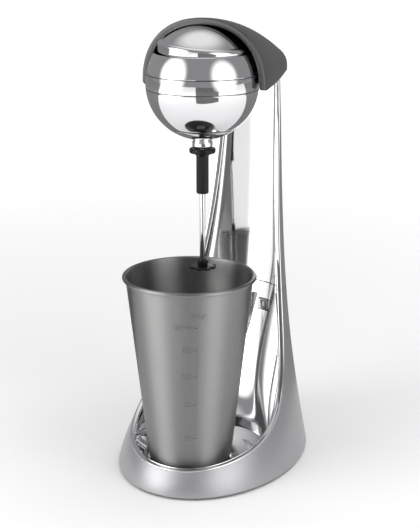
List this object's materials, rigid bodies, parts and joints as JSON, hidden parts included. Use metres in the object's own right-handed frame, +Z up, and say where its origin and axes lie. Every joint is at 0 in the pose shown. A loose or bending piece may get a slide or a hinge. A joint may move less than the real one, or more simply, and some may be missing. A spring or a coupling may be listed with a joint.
{
  "type": "milkshake mixer",
  "caption": "Stand mixer for milkshakes: oval base with a leaning column, a ball shaped motor head under a hood, a stirrer on a rod and a loose steel cup.",
  "frame": {"origin": "middle of the oval footprint, on the surface that the feet stand on", "axes": "+Z up, front towards -Y, so the column stands at the +Y side"},
  "size_m": [0.136, 0.1908, 0.33],
  "materials": {
    "silver_plastic": "satin silver",
    "chrome": "polished",
    "dark_plastic": "fine texture",
    "black_plastic": "gloss",
    "rubber": "matte",
    "screw_steel": "zinc plated",
    "frame_steel": "zinc plated",
    "rod_steel": "polished",
    "cast_weight": "rough",
    "clear_plastic": "bright, glassy",
    "carbon": "pressed carbon",
    "bronze": "sintered",
    "copper": "turned",
    "brushed_steel": "brushed round the cup",
    "board": "lacquered"
  },
  "bodies": {
    "stand": {"lower_shell": "silver_plastic", "upper_shell": "silver_plastic", "hood": "silver_plastic", "hood_underpanel": "dark_plastic", "lower_liner": "chrome", "upper_liner": "chrome", "lower_lip_trim": "chrome", "upper_lip_trim": "chrome", "base_plate": "dark_plastic", "rubber_feet": "rubber", "base_screws": "screw_steel", "base_weight": "cast_weight", "cup_seat_ring": "clear_plastic", "cup_guide_rib": "chrome", "column_frame": "frame_steel", "head_bracket": "frame_steel", "bracket_screws": "screw_steel", "lower_bowl": "chrome", "ball_cap": "chrome", "ball_band": "chrome", "upper_bowl": "chrome", "shaft_collar": "chrome", "switch_pin": "frame_steel", "switch_cradle": "dark_plastic", "switch_block": "dark_plastic", "motor_can": "frame_steel", "motor_end_cap": "dark_plastic", "motor_magnets": "cast_weight", "motor_brushes": "carbon", "lower_bearing": "bronze", "upper_bearing": "bronze", "motor_screws": "screw_steel", "micro_switch": "dark_plastic", "circuit_board": "board", "wiring_lead": "dark_plastic", "inlet_bush": "black_plastic"},
    "rotor": {"motor_shaft": "rod_steel", "armature": "frame_steel", "commutator": "copper", "cooling_fan": "dark_plastic"},
    "stirrer": {"coupling_sleeve": "black_plastic", "stirrer_rod": "rod_steel", "whisk_disc": "black_plastic", "whisk_hub": "black_plastic"},
    "switch_dome": {"switch_dome": "chrome"},
    "cup_button": {"cup_button": "chrome"},
    "cup": {"cup": "brushed_steel"}
  },
  "joints": [
    {"name": "rotor_spin", "type": "hinge", "parent": "stand", "child": "rotor", "pos_m": [0, -0.0235, 0.26], "axis": [0, 0, 1], "continuous": true},
    {"name": "stirrer_pull", "type": "slide", "parent": "rotor", "child": "stirrer", "axis": [0, 0, -1], "range_m": [0, 0.02]},
    {"name": "switch_rock", "type": "hinge", "parent": "stand", "child": "switch_dome", "pos_m": [0, -0.0235, 0.30396], "axis": [0, 1, 0], "range_deg": [-10, 0]},
    {"name": "button_push", "type": "slide", "parent": "stand", "child": "cup_button", "axis": [0, 1, 0], "range_m": [0, 0.003], "stiffness_N_per_m": 300, "springref_m": -0.002},
    {"name": "cup_lift", "type": "slide", "parent": "stand", "child": "cup", "axis": [0, 0.2716, 0.9624], "range_m": [0, 0.0935]}
  ]
}
